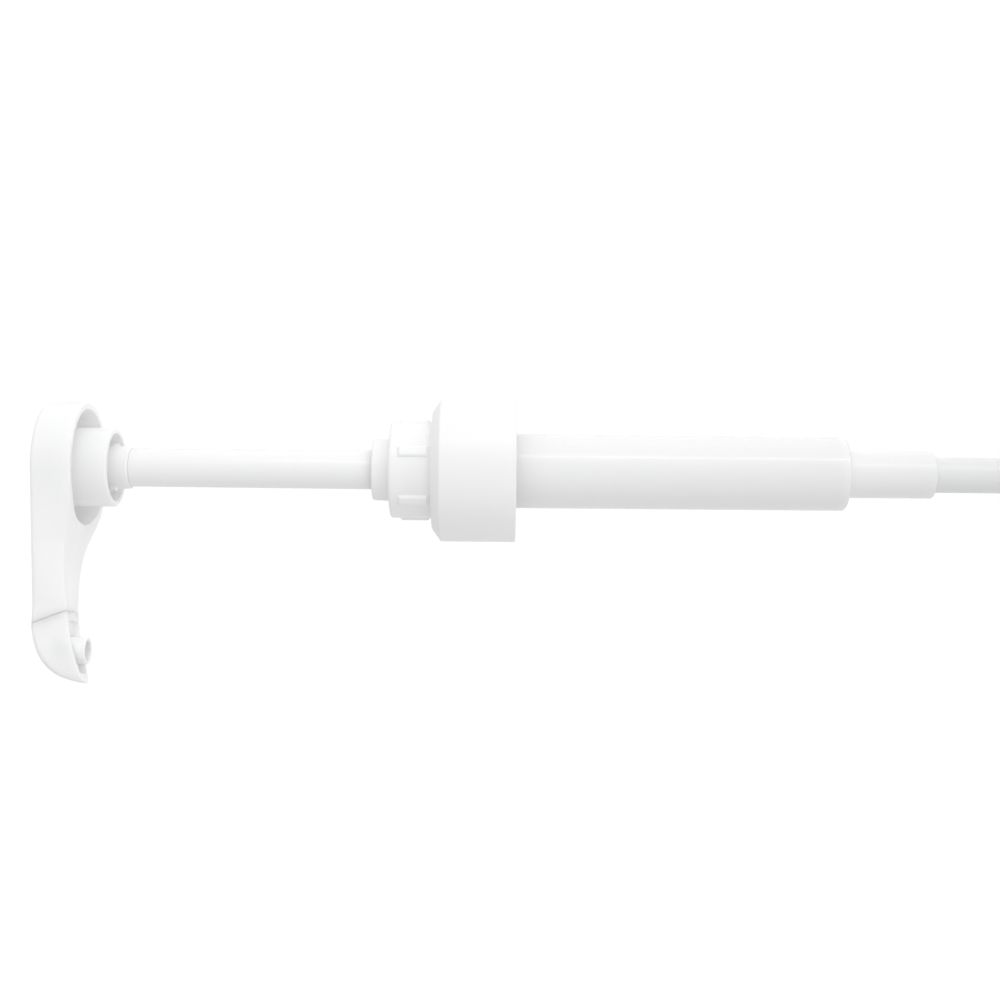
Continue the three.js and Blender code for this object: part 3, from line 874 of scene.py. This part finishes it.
    def shell(self) -> Piece:
        """The head without its nose.

        Returns:
            The piece.
        """
        piece = combine(self.solid(), self.seam_tool(False), "INTERSECT")
        piece.name = "head_shell_skin"
        ceiling, below = self.deck_top - self.deck_thickness, self.cut_base
        inner = self.disc_radius - self.wall
        hollow = turned(
            "tool",
            [(0, below, 0), (inner, below, 0), (inner, ceiling, 1.2), (0, ceiling, 0)],
            closed=False,
        )
        start, width = -self.pocket_length - 1, self.pocket_half
        pocket = box((start, -width, below), (0, width, ceiling))
        for vertex in pocket.data.vertices:
            if vertex.co.x < 0 and vertex.co.z > self.rim_bottom * MM:
                vertex.co.x += self.pocket_lean * MM
        foot, root = self.boss_bottom, ceiling + self.joint_depth
        boss = turned(
            "tool",
            [
                (0, foot + 1, 0),
                (self.boss_bore, foot + 1, 0),
                (self.boss_bore, foot, 0.25),
                (self.boss_radius, foot, 1.1),
                (self.boss_radius, ceiling - 0.1, 0),
                (self.boss_radius + 0.8, root, 0),
                (0, root, 0),
            ],
            closed=False,
        )
        half = self.duct_half
        bridge = box((start, -half, self.duct_height - half), (0, half, root))
        combine(piece, hollow, "DIFFERENCE")
        combine(piece, pocket, "DIFFERENCE")
        combine(piece, boss, "UNION")
        combine(piece, bridge, "UNION")
        bore = turned(
            "tool",
            [
                (0, below, 0),
                (self.boss_bore, below, 0),
                (self.boss_bore, self.boss_floor, 0.5),
                (self.socket_radius, self.boss_floor, 0.2),
                (self.socket_radius, self.socket_top, 0),
                (self.duct_bore, self.socket_top, 0),
                (self.duct_bore, self.duct_top, 0.6),
                (0, self.duct_top, 0),
            ],
            closed=False,
        )
        combine(piece, bore, "DIFFERENCE")
        return ease_edges(piece, 0.22)

    def nose(self) -> Piece:
        """The nose: a hood, open below round the nozzle.

        Returns:
            The piece.
        """
        piece = combine(self.solid(), self.seam_tool(True), "INTERSECT")
        piece.name = "nose_cap_skin"
        start, skin = -self.seam_low - 2.4, self.hood_skin
        end = -self.spout_length + self.hood_front
        side = [
            (max(x + skin, end), y - skin)
            for x, y in self.half_plan()
            if x < start + 1 and y - skin > 0.6
        ]
        side = [(start, side[0][1]), *[p for p in side if p[0] < start]]
        outline = [*side, *[(x, -y) for x, y in reversed(side)]]
        count = len(outline)
        heights = (self.cut_base, self.hood_ceiling)
        points = [(x * MM, y * MM, z * MM) for z in heights for x, y in outline]
        faces = [list(range(count)), [count + i for i in range(count)]]
        faces += [[i, (i + 1) % count, count + (i + 1) % count, count + i] for i in range(count)]
        combine(piece, new_mesh("tool", points, faces), "DIFFERENCE")
        half, back, front = self.keel_half, -self.seam_low - 1.4, -self.keel_end
        keel = turned(
            "tool",
            [(0, front, 0), (half, front, 0.3), (half, back, 0), (0, back, 0)],
            sides=48,
            closed=False,
        )
        height = (self.spout_bottom - self.keel_depth + half) * MM
        keel.data.transform(Matrix.Translation((0, 0, height)) @ Matrix.Rotation(math.pi / 2, 4, "Y"))
        combine(piece, keel, "UNION")
        low, wide, high = self.cut_base, self.nozzle_socket, self.nozzle_ceiling
        socket = turned(
            "tool", [(0, low, 0), (wide, low, 0), (wide, high, 0), (0, high, 0)], sides=64, closed=False
        )
        socket.data.transform(Matrix.Translation((-self.nozzle_place * MM, 0, 0)))
        combine(piece, socket, "DIFFERENCE")
        return ease_edges(piece, 0.18)

    def nozzle(self) -> Piece:
        """The short outlet tube, with a rounded mouth.

        Returns:
            The piece.
        """
        inner, outer, low, high = self.nozzle_bore, self.nozzle_radius, self.nozzle_mouth, self.nozzle_top
        piece = turned(
            "outlet_nozzle_skin",
            [(inner, low, 0.35), (outer, low, 0.5), (outer, high, 0.1), (inner, high, 0.1)],
            sides=72,
        )
        piece.data.transform(Matrix.Translation((-self.nozzle_place * MM, 0, 0)))
        return piece

    def collar(self) -> Piece:
        """The stem collar, with its lock lugs and the fine ring above its foot.

        Returns:
            The piece.
        """
        bore, wall = self.collar_bore, self.collar_radius
        foot, top = self.collar_foot, self.collar_top
        low, high = self.lug_low, self.lug_high
        corners = [
            (bore, foot, 0.1), (wall - 0.4, foot, 0.35), (wall, foot + 0.6, 0.4), (wall, foot + 1, 0.05),
            (wall - 0.1, foot + 1.1, 0.05), (wall - 0.1, foot + 1.4, 0.05), (wall, foot + 1.5, 0.05),
            (wall, low - 0.1, 0.05), (wall, low + 0.1, 0.02), (wall, low + 0.5, 0),
            (wall, high - 1.1, 0), (wall, high - 0.4, 0), (wall, high - 0.1, 0.02), (wall, high + 0.1, 0.05),
            (wall, top, 0.2), (bore, top, 0.1),
        ]

        def lugs(angle: float, radius: float, height: float) -> Point:
            """Pushes the wall out at each lug.

            Args:
                angle: the point's angle round the axis.
                radius: its radius, in metres.
                height: its height.

            Returns:
                The new radius and height.
            """
            near = abs((angle + math.pi / 2) % math.pi - math.pi / 2) * wall
            side = min(1.0, max(0.0, (self.lug_half - near) / 0.35))
            level = height / MM
            rise = min(1.0, max(0.0, min(level - low, high - level) / 0.45))
            bulge = self.lug_reach * side * rise if radius > (wall - 0.6) * MM else 0.0
            return radius + bulge * MM, height

        return turned("stem_collar_skin", corners, sides=192, reshape=lugs)

    def build(self, finishes: Finishes) -> None:
        """Builds and dresses the head's pieces.

        Args:
            finishes: the pump's materials.
        """
        install(self.shell(), finishes.head, Body.HEAD)
        install(self.nose(), finishes.head, Body.HEAD)
        install(self.nozzle(), finishes.plastic, Body.HEAD)
        install(self.collar(), finishes.plastic, Body.HEAD)


# ---------------------------------------------------------------- plunger


@dataclass
class Plunger:
    """The rod, the piston with its seals, the outlet valve and the return spring. Millimetres."""

    bore: float = 4.2
    stroke: float = 85.0
    rod_foot: float = -0.5
    rod_radius: float = 6.1
    rod_top_radius: float = 5.9
    rod_shoulder: float = 98.87
    spigot_radius: float = 5.2
    rod_top: float = 116.9
    valve_bore: float = 2.4
    cage_low: float = -2.6
    cage_high: float = -0.8
    ball_radius: float = 3.5
    ball_height: float = -9.9
    piston_foot: float = -14.0
    piston_top: float = 6.0
    piston_radius: float = 9.7
    groove_radius: float = 8.0
    lands: tuple[float, float, float] = (-12.4, -4.8, -3.2)
    socket_radius: float = 6.4
    socket_floor: float = -11.0
    lip_radius: float = 10.2
    upper_seal: float = 0.9
    lower_seal: float = -8.6
    spring_low: float = -117.1
    spring_high: float = -14.3
    spring_radius: float = 8.9
    spring_wire: float = 1.3
    spring_turns: float = 12

    def rod(self) -> Piece:
        """The hollow stem.

        Returns:
            The piece.
        """
        foot, shoulder, top = self.rod_foot, self.rod_shoulder, self.rod_top
        return turned(
            "plunger_rod_skin",
            [
                (self.bore, foot, 0.2),
                (self.rod_radius, foot, 0.3),
                (self.rod_top_radius, shoulder, 0.12),
                (self.spigot_radius, shoulder, 0.1),
                (self.spigot_radius, top, 0.2),
                (self.bore, top, 0.2),
            ],
        )

    def cage(self) -> Piece:
        """The ring that stops the outlet ball.

        Returns:
            The piece.
        """
        inner, outer, low, high = self.valve_bore, self.rod_radius, self.cage_low, self.cage_high
        return turned(
            "outlet_ball_cage_skin",
            [(inner, low, 0.3), (outer, low, 0.2), (outer, high, 0.2), (inner, high, 0.3)],
        )

    def piston(self) -> Piece:
        """The piston, with its grooves, socket and valve seat.

        Returns:
            The piece.
        """
        foot, top, wall, groove = self.piston_foot, self.piston_top, self.piston_radius, self.groove_radius
        lower, middle, upper = self.lands
        socket, floor = self.socket_radius, self.socket_floor
        return turned(
            "piston_body_skin",
            [
                (self.valve_bore, foot, 0.3), (wall, foot, 0.3), (wall, lower, 0.25), (groove, lower, 0.2),
                (groove, middle, 0.2), (wall, middle, 0.25), (wall, upper, 0.25), (groove, upper, 0.2),
                (groove, top - 1, 0.2), (groove - 1, top, 0.3), (socket, top, 0.15), (socket, floor, 0.3),
                (socket - 2, floor, 0.2), (self.valve_bore, floor - 2, 0.2),
            ],
        )

    def seal(self, name: str, middle: float, sense: int) -> Piece:
        """A piston seal with a lip.

        Args:
            name: the piece's name.
            middle: the height of its middle.
            sense: 1 for a lip that opens up, -1 for one that opens down.

        Returns:
            The piece.
        """
        back, front = middle - 2.5 * sense, middle + 2.5 * sense
        root, inner, lip = front - 2 * sense, self.groove_radius + 0.3, self.lip_radius
        return turned(
            name,
            [
                (inner, back, 0.3), (lip - 0.4, back, 0.4), (lip, front, 0.3), (lip - 0.8, front, 0.3),
                (inner + 0.8, root, 0.4), (inner, root, 0.3),
            ],
        )

    def spring(self) -> Piece:
        """The return spring.

        Returns:
            The piece.
        """
        wire = self.spring_wire
        low, high = self.spring_low + wire / 2, self.spring_high - wire / 2
        return coil("return_spring_skin", self.spring_radius, wire, low, high, self.spring_turns, 1.0)

    def ball(self) -> Piece:
        """The outlet ball."""
        return valve_ball("outlet_ball_skin", self.ball_radius, self.ball_height)

    def build(self, finishes: Finishes) -> None:
        """Builds and dresses the plunger's pieces.

        Args:
            finishes: the pump's materials.
        """
        install(self.rod(), finishes.rod, Body.HEAD)
        install(self.cage(), finishes.plastic, Body.HEAD)
        install(self.piston(), finishes.plastic, Body.PISTON)
        upper = self.seal("upper_piston_seal_skin", self.upper_seal, 1)
        lower = self.seal("lower_piston_seal_skin", self.lower_seal, -1)
        install(upper, finishes.rubber, Body.PISTON)
        install(lower, finishes.rubber, Body.PISTON)
        install(self.ball(), finishes.ball, Body.OUTLET_BALL)
        spring = install(self.spring(), finishes.spring, Body.PISTON)
        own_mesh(spring)


def valve_ball(name: str, radius: float, height: float) -> Piece:
    """A valve ball turned from a half circle.

    Args:
        name: the piece's name.
        radius: its radius in millimetres.
        height: its centre's height.

    Returns:
        The piece.
    """
    angles = np.linspace(-math.pi / 2, math.pi / 2, 33)
    half = [(radius * math.cos(angle), height + radius * math.sin(angle), 0) for angle in angles]
    half[0], half[-1] = (0, height - radius, 0), (0, height + radius, 0)
    return turned(name, half, sides=64, closed=False)


# ---------------------------------------------------------------- neck and barrel


@dataclass
class NeckAssembly:
    """The lock nut, bush, wiper, gasket and closure cap at the jug's neck. Millimetres."""

    nut_radius: float = 14.8
    nut_foot: float = 5.76
    nut_shoulder: float = 18.6
    nut_bore: float = 12.9
    nut_ceiling: float = 13.6
    neck_top: float = 24.2
    neck_bore: float = 7.9
    rib_count: int = 6
    rib_half_width: float = 1.65
    rib_height: float = 0.8
    rib_flank: float = 0.75
    rib_low: float = 6.4
    rib_high: float = 15.9
    rib_turn: float = math.radians(8)
    guide_bore: float = 6.4
    bush_flange: float = 12.2
    bush_top: float = 13.3
    wiper_radius: float = 8.4
    wiper_low: float = 11.1
    wiper_high: float = 13.1
    gasket_bore: float = 12.0
    gasket_radius: float = 17.2
    gasket_top: float = 1.2
    cap_bore: float = 18.9
    cap_radius: float = 22.0
    cap_foot: float = -20.0
    cap_ceiling: float = 3.7
    cap_top: float = 5.7
    chamfer_low: float = 3.0
    chamfer_radius: float = 18.2
    thread_start: float = -15.5
    thread_pitch: float = 4.23
    thread_turns: float = 1.5
    thread_radius: float = 19.2
    thread_depth: float = 2.4

    def nut(self) -> Piece:
        """The ribbed lock nut with its neck.

        Returns:
            The piece.
        """
        wall, foot, shoulder = self.nut_radius, self.nut_foot, self.nut_shoulder
        low, high = self.rib_low, self.rib_high
        bore, ceiling, neck = self.nut_bore, self.nut_ceiling, self.neck_top
        step, middle = 0.2, 11.2
        rib_levels = [low + step * k for k in range(5)]
        rib_levels += [middle, *(high - step * k for k in range(4, -1, -1))]
        corners = [
            (bore, foot, 0.2),
            (wall, foot, 0.12),
            *[(wall, level, 0) for level in rib_levels],
            (wall, shoulder, 0.95),
            (9.6, shoulder, 0.35),
            (9.4, neck, 1.4),
            (self.neck_bore, neck, 0.4),
            (self.neck_bore, ceiling, 0.2),
            (bore, ceiling, 0.2),
        ]

        def ribs(angle: float, radius: float, height: float) -> Point:
            """Pushes the wall out at each rib, with rounded flanks and ends.

            Args:
                angle: the point's angle round the axis.
                radius: its radius, in metres.
                height: its height.

            Returns:
                The new radius and height.
            """
            pitch = 2 * math.pi / self.rib_count
            near = abs((angle - self.rib_turn) % pitch - pitch / 2) * wall
            side = min(1.0, max(0.0, (self.rib_half_width + 0.15 - near) / self.rib_flank))
            level = height / MM
            rise = min(1.0, max(0.0, min(level - low, high - level) / self.rib_flank))
            round_top = math.sin(side * math.pi / 2)
            bulge = self.rib_height * round_top * rise if radius > (wall - 0.3) * MM else 0.0
            return radius + bulge * MM, height

        return turned("lock_nut_skin", corners, sides=360, reshape=ribs)

    def bush(self) -> Piece:
        """The rod's guide bush.

        Returns:
            The piece.
        """
        bore, flange, top = self.guide_bore, self.bush_flange, self.bush_top
        return turned(
            "rod_guide_bush_skin",
            [
                (bore, 6.5, 0.3), (10.2, 6.5, 0.4), (10.2, top - 1, 0.1), (flange, top - 1, 0.15),
                (flange, top, 0.2), (8.7, top, 0.15), (8.7, 10.8, 0.15), (bore, 10.8, 0.2),
            ],
        )

    def wiper(self) -> Piece:
        """The rod's wiper seal.

        Returns:
            The piece.
        """
        low, high, outer, lip = self.wiper_low, self.wiper_high, self.wiper_radius, self.guide_bore
        return turned(
            "rod_wiper_seal_skin",
            [
                (lip + 0.5, low, 0.1), (outer, low, 0.2), (outer, high, 0.2), (lip, high, 0.1),
                (lip, high - 0.5, 0.1),
            ],
        )

    def gasket(self) -> Piece:
        """The neck gasket, with a shallow groove on its upper face.

        Returns:
            The piece.
        """
        inner, outer, top = self.gasket_bore, self.gasket_radius, self.gasket_top
        bed = top - 0.15
        return turned(
            "neck_gasket_skin",
            [
                (inner, 0, 0.15), (outer, 0, 0.15), (outer, top, 0.15), (15.1, top, 0.05), (14.9, bed, 0.05),
                (14.4, bed, 0.05), (14.2, top, 0.05), (inner, top, 0.15),
            ],
        )

    def cap(self) -> Piece:
        """The closure cap, with its thread inside.

        Returns:
            The piece.
        """
        foot, top, ceiling = self.cap_foot, self.cap_top, self.cap_ceiling
        inner, outer, hole = self.cap_bore, self.cap_radius, self.nut_bore
        piece = turned(
            "closure_cap_skin",
            [
                (inner, foot, 0.4), (outer, foot, 0.45), (outer, self.chamfer_low, 0.7),
                (self.chamfer_radius, top, 0.5), (hole, top, 0.3), (hole, ceiling, 0.2),
                (inner, ceiling, 0.5),
            ],
        )
        start, turns = self.thread_start, self.thread_turns
        end = start + self.thread_pitch * turns
        thread = coil("tool", self.thread_radius, self.thread_depth, start, end, turns)
        return smooth(combine(piece, thread, "UNION"))

    def build(self, finishes: Finishes) -> None:
        """Builds and dresses the pieces at the neck.

        Args:
            finishes: the pump's materials.
        """
        install(self.nut(), finishes.plastic, Body.BARREL)
        install(self.bush(), finishes.plastic, Body.BARREL)
        install(self.wiper(), finishes.rubber, Body.BARREL)
        install(self.gasket(), finishes.rubber, Body.BARREL)
        install(self.cap(), finishes.plastic, Body.CAP)


@dataclass
class BarrelAssembly:
    """The barrel with its tail, the inlet valve and the dip tube. Millimetres."""

    radius: float = 11.5
    draft: float = 0.15
    bore: float = 10.5
    top: float = 12.0
    floor: float = -119.5
    barrel_foot: float = -121.7
    flange_radius: float = 17.4
    flange_low: float = 1.5
    flange_high: float = 3.4
    collar_radius: float = 12.5
    tail_radius: float = 7.3
    tail_bore: float = 5.8
    tail_foot: float = -148.8
    retainer_radius: float = 10.1
    retainer_hole: float = 3.0
    retainer_low: float = -119.2
    retainer_plate: float = -117.4
    hub_radius: float = 7.6
    hub_top: float = -115.4
    seat_radius: float = 5.5
    seat_hole: float = 2.2
    seat_low: float = -133.6
    seat_high: float = -129.2
    ball_radius: float = 3.95
    ball_height: float = -127.5
    tube_radius: float = 5.5
    tube_bore: float = 4.5
    tube_top: float = -134.2
    tube_middle: float = -190.0
    tip: float = -280.0
    cut: float = math.radians(30)

    def barrel(self) -> Piece:
        """The cylinder, drawn in a little towards its foot, with flange, collar and tail.

        Returns:
            The piece.
        """
        bore, tail_bore, tail, foot = self.bore, self.tail_bore, self.tail_radius, self.tail_foot
        step, rim, flange, collar = self.barrel_foot, self.flange_low, self.flange_radius, self.collar_radius
        return turned(
            "pump_barrel_skin",
            [
                (tail_bore, foot, 0.2), (tail, foot, 0.35), (tail + 0.05, step, 0.6),
                (self.radius - self.draft, step, 0.8), (self.radius, rim, 0.4), (flange, rim, 0.3),
                (flange, self.flange_high, 0.3), (collar, self.flange_high, 0.3), (collar, self.top, 0.3),
                (bore, self.top, 0.3), (bore, self.floor, 0.5), (tail_bore, self.floor, 0.3),
            ],
        )

    def retainer(self) -> Piece:
        """The disc that stops the inlet ball.

        Returns:
            The piece.
        """
        hole, disc, hub = self.retainer_hole, self.retainer_radius, self.hub_radius
        low, plate, top = self.retainer_low, self.retainer_plate, self.hub_top
        return turned(
            "ball_retainer_skin",
            [
                (hole, low, 0.3), (disc, low, 0.2), (disc, plate, 0.2), (hub, plate, 0.2),
                (hub - 0.4, top, 0.3), (hole, top, 0.3),
            ],
        )

    def seat(self) -> Piece:
        """The inlet ball's seat.

        Returns:
            The piece.
        """
        hole, outer, low, high = self.seat_hole, self.seat_radius, self.seat_low, self.seat_high
        return turned(
            "inlet_valve_seat_skin",
            [(hole, low, 0.3), (outer, low, 0.2), (outer, high, 0.2), (4.6, high, 0.1), (hole, low + 2, 0.2)],
        )

    def tube(self) -> Piece:
        """The dip tube, cut at a slant at its tip.

        Returns:
            The piece.
        """
        inner, outer = self.tube_bore, self.tube_radius
        tip, middle, top = self.tip, self.tube_middle, self.tube_top

        def slant(angle: float, radius: float, height: float) -> Point:
            """Lifts the tip's points onto the slanted cut.

            Args:
                angle: the point's angle round the axis.
                radius: its radius, in metres.
                height: its height.

            Returns:
                The same radius and the new height.
            """
            if height > (middle - 1) * MM:
                return radius, height
            across = outer * MM - radius * math.cos(angle)
            return radius, height + across * math.tan(self.cut)

        body = [
            (inner, tip, 0.15), (outer, tip, 0.15), (outer, middle, 0), (outer, top, 0.2), (inner, top, 0.2),
            (inner, middle, 0),
        ]
        return turned("dip_tube_skin", body, reshape=slant)

    def build(self, finishes: Finishes) -> None:
        """Builds and dresses the barrel's pieces.

        Args:
            finishes: the pump's materials.
        """
        install(self.barrel(), finishes.barrel, Body.BARREL)
        install(self.retainer(), finishes.plastic, Body.BARREL)
        install(self.seat(), finishes.plastic, Body.BARREL)
        ball = valve_ball("inlet_ball_skin", self.ball_radius, self.ball_height)
        install(ball, finishes.ball, Body.INLET_BALL)
        install(self.tube(), finishes.tube, Body.BARREL)


# ---------------------------------------------------------------- studio


@dataclass
class Studio:
    """A white studio: soft light from the spout's back and from below, a pale floor and the camera."""

    distance: float = 0.431
    turn: float = math.radians(-13)
    roll: float = math.radians(0.55)
    look_height: float = -0.0152
    look_aside: float = 0.009
    lens: float = 50.0
    floor_radius: float = 0.3
    floor_gap: float = 0.0002
    light_lean: tuple[float, float, float] = (0.185, -0.05, -0.23)
    light_level: float = 0.9
    backdrop: float = 1.02
    lamp_side: tuple[float, float, float] = (0.544, -0.838, 0.0)
    lamp_distance: float = 0.6
    lamp_drop: float = 0.17
    lamp_size: tuple[float, float] = (0.7, 0.009)
    lamp_power: float = 0.5

    def camera(self) -> None:
        """Places the camera at the side, level with the cap, with the pump's axis lying across the view."""
        data = bpy.data.cameras.new("camera")
        data.lens = self.lens
        data.clip_start = 0.01
        camera = bpy.data.objects.new("camera", data)
        bpy.context.scene.collection.objects.link(camera)
        bpy.context.scene.camera = camera
        across = Vector((math.cos(self.turn), math.sin(self.turn), 0))
        back = Vector((math.sin(self.turn), -math.cos(self.turn), 0))
        down_axis = Vector((0, 0, -1))
        right = down_axis * math.cos(self.roll) + across * math.sin(self.roll)
        up = across * math.cos(self.roll) - down_axis * math.sin(self.roll)
        place = Vector((0, 0, self.look_height)) - across * self.look_aside + back * self.distance
        rotation = Matrix((right, up, back)).transposed()
        camera.matrix_world = Matrix.Translation(place) @ rotation.to_4x4()

    def floor(self) -> None:
        """Lays a pale round floor under the dip tube's tip."""
        low = CAD_BOX[0][2] - self.floor_gap
        turns = [2 * math.pi * i / FLOOR_SIDES for i in range(FLOOR_SIDES)]
        rim = [(self.floor_radius * math.cos(a), self.floor_radius * math.sin(a), low) for a in turns]
        faces = [(0, i + 1, (i + 1) % FLOOR_SIDES + 1) for i in range(FLOOR_SIDES)]
        floor = new_mesh("studio_floor", [(0.0, 0.0, low), *rim], faces)
        sheet = NodeSheet("pale_floor")
        tone = sheet.tones(sheet.noise(60, 4), "Fac", [(0.3, (0.86,) * 3), (0.7, (0.9,) * 3)])
        sheet.join(tone, "Color", sheet.shader, "Base Color")
        sheet.shader.inputs["Roughness"].default_value = 0.7
        floor.data.materials.append(sheet.material)

    def world(self) -> None:
        """Fills the surroundings with soft light that is white to the eye and stronger from one side."""
        world = bpy.data.worlds.new("studio")
        bpy.context.scene.world = world
        world.use_nodes = True
        tree = world.node_tree
        tree.nodes.clear()
        add, link = tree.nodes.new, tree.links.new
        place = add("ShaderNodeTexCoord")
        lean = add("ShaderNodeVectorMath")
        lean.operation = "DOT_PRODUCT"
        lean.inputs[1].default_value = self.light_lean
        link(place.outputs["Generated"], lean.inputs[0])
        level = add("ShaderNodeMath")
        level.inputs[1].default_value = self.light_level
        link(lean.outputs["Value"], level.inputs[0])
        soft, plain = (add("ShaderNodeBackground") for _ in range(2))
        for background in (soft, plain):
            background.inputs["Color"].default_value = (1.0, 1.0, 1.0, 1.0)
        link(level.outputs[0], soft.inputs["Strength"])
        plain.inputs["Strength"].default_value = self.backdrop
        rays = add("ShaderNodeLightPath")
        choose = add("ShaderNodeMixShader")
        link(rays.outputs["Is Camera Ray"], choose.inputs[0])
        link(soft.outputs[0], choose.inputs[1])
        link(plain.outputs[0], choose.inputs[2])
        output = add("ShaderNodeOutputWorld")
        link(choose.outputs[0], output.inputs["Surface"])

    def strip_light(self) -> None:
        """A long narrow lamp on the spout's back side, which draws a thin line of light down the barrel."""
        data = bpy.data.lights.new("strip", "AREA")
        data.shape = "RECTANGLE"
        data.size, data.size_y = self.lamp_size
        data.energy = self.lamp_power
        lamp = bpy.data.objects.new("strip", data)
        bpy.context.scene.collection.objects.link(lamp)
        away = Vector(self.lamp_side).normalized()
        down_axis = Vector((0, 0, -1))
        turn = Matrix((down_axis, away.cross(down_axis), away)).transposed()
        place = away * self.lamp_distance + down_axis * self.lamp_drop
        lamp.matrix_world = Matrix.Translation(place) @ turn.to_4x4()

    def build(self) -> None:
        """Builds the studio."""
        self.camera()
        self.floor()
        self.world()
        self.strip_light()
        bpy.context.scene.view_settings.view_transform = "Standard"


def main() -> None:
    """Builds the pump and its studio."""
    logging.basicConfig(level=logging.INFO, format="%(name)s %(message)s")
    Studio().build()
    finishes = Finishes()
    for assembly in (PressingHead(), Plunger(), NeckAssembly(), BarrelAssembly()):
        LOG.info("building %s", type(assembly).__name__)
        assembly.build(finishes)


if __name__ == "__main__":
    main()
